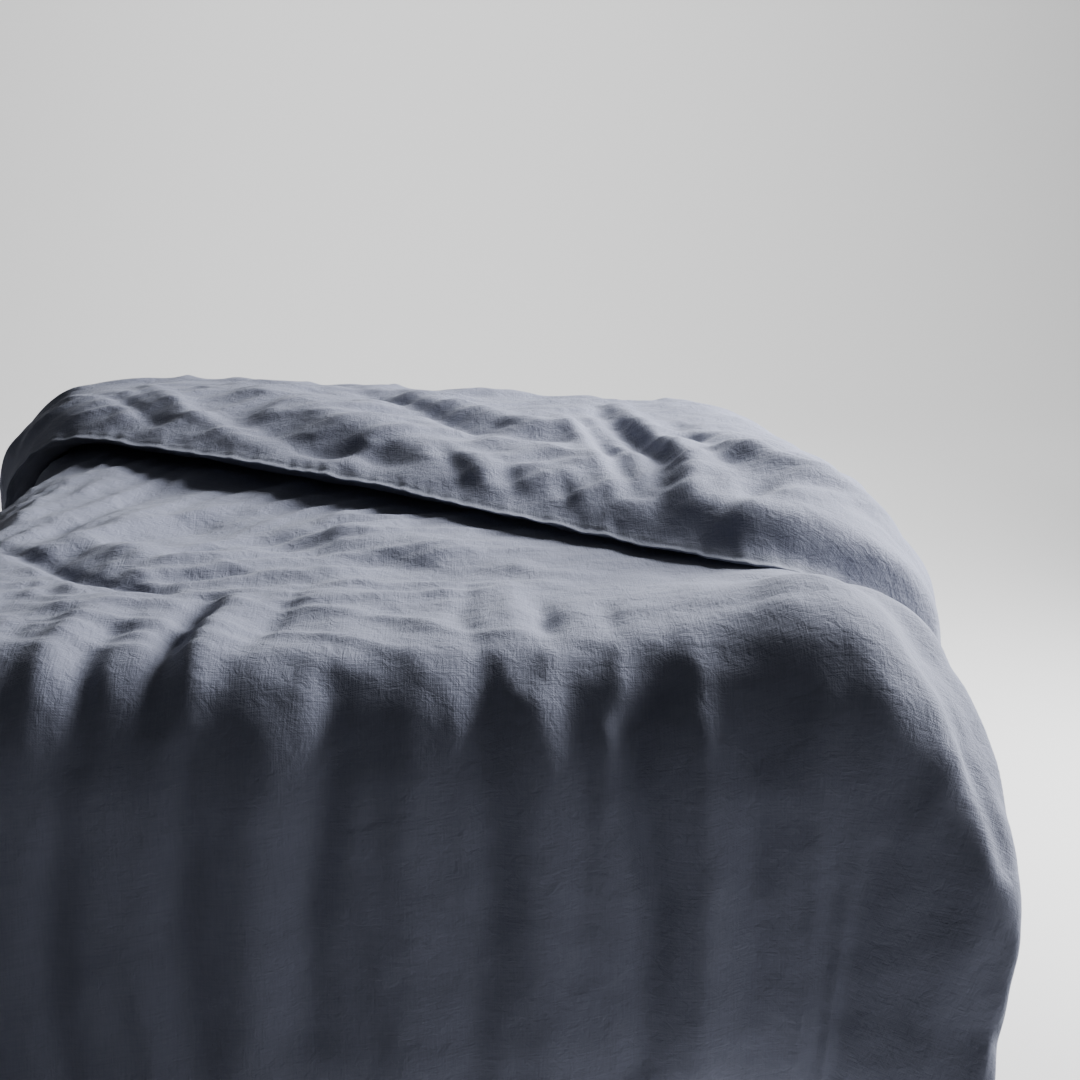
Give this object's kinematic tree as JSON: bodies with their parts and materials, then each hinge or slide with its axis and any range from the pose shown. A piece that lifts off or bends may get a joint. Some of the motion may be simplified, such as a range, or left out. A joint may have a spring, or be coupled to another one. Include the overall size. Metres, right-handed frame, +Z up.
{
  "type": "duvet on a bed",
  "caption": "Single duvet in a buttoned cotton cover, draped over the sides and foot of a mattress, its head end turned back on a slant.",
  "frame": {"origin": "on the underside, in the middle of the flat area that rests on the mattress", "axes": "+Z up, +Y towards the head of the bed, +X to the right when looking from the foot"},
  "size_m": [1.1364, 1.4391, 0.6901],
  "materials": {
    "cover_cloth": "matte",
    "insert_shell": "matte",
    "filling": "matte",
    "button": "gloss",
    "tie_tape": "matte",
    "label": "satin"
  },
  "bodies": {
    "spread_part": {"button_1": "button", "button_2": "button", "button_3": "button", "button_4": "button", "button_5": "button", "care_label": "label", "corner_tie_foot_left": "tie_tape", "corner_tie_foot_right": "tie_tape", "cover_face": "cover_cloth", "cover_reverse": "cover_cloth", "fill_row_1_column_1": "filling", "fill_row_1_column_2": "filling", "fill_row_1_column_3": "filling", "fill_row_1_column_4": "filling", "fill_row_2_column_1": "filling", "fill_row_2_column_2": "filling", "fill_row_2_column_3": "filling", "fill_row_2_column_4": "filling", "fill_row_3_column_1": "filling", "fill_row_3_column_2": "filling", "fill_row_3_column_3": "filling", "fill_row_3_column_4": "filling", "fill_row_4_column_1": "filling", "fill_row_4_column_2": "filling", "fill_row_4_column_3": "filling", "fill_row_4_column_4": "filling", "foot_hem_face_side": "cover_cloth", "foot_hem_reverse_side": "cover_cloth", "insert_lower_shell": "insert_shell", "insert_upper_shell": "insert_shell", "sewn_edge_left": "cover_cloth", "sewn_edge_right": "cover_cloth"},
    "turned_back_part": {"corner_tie_head_left": "tie_tape", "corner_tie_head_right": "tie_tape", "cover_face_at_fold": "cover_cloth", "cover_face_turned_back": "cover_cloth", "cover_reverse_at_fold": "cover_cloth", "cover_reverse_turned_back": "cover_cloth", "fill_at_fold_column_1": "filling", "fill_at_fold_column_2": "filling", "fill_at_fold_column_3": "filling", "fill_at_fold_column_4": "filling", "fill_turned_back_column_1": "filling", "fill_turned_back_column_2": "filling", "fill_turned_back_column_3": "filling", "fill_turned_back_column_4": "filling", "insert_lower_shell_at_fold": "insert_shell", "insert_lower_shell_turned_back": "insert_shell", "insert_upper_shell_at_fold": "insert_shell", "insert_upper_shell_turned_back": "insert_shell", "sewn_edge_head": "cover_cloth", "sewn_edge_left_turned_back": "cover_cloth", "sewn_edge_right_turned_back": "cover_cloth"}
  },
  "joints": [
    {"name": "turn_down", "type": "hinge", "parent": "spread_part", "child": "turned_back_part", "pos_m": [0, 0.47388, 0.058], "axis": [-0.9578, 0.2873, 0], "range_deg": [0, 165], "deforming": ["corner_tie_head_left", "corner_tie_head_right", "cover_face_at_fold", "cover_face_turned_back", "cover_reverse_at_fold", "cover_reverse_turned_back", "fill_at_fold_column_1", "fill_at_fold_column_2", "fill_at_fold_column_3", "fill_at_fold_column_4", "fill_turned_back_column_1", "fill_turned_back_column_4", "insert_lower_shell_at_fold", "insert_lower_shell_turned_back", "insert_upper_shell_at_fold", "insert_upper_shell_turned_back", "sewn_edge_head", "sewn_edge_left_turned_back", "sewn_edge_right_turned_back"]}
  ]
}
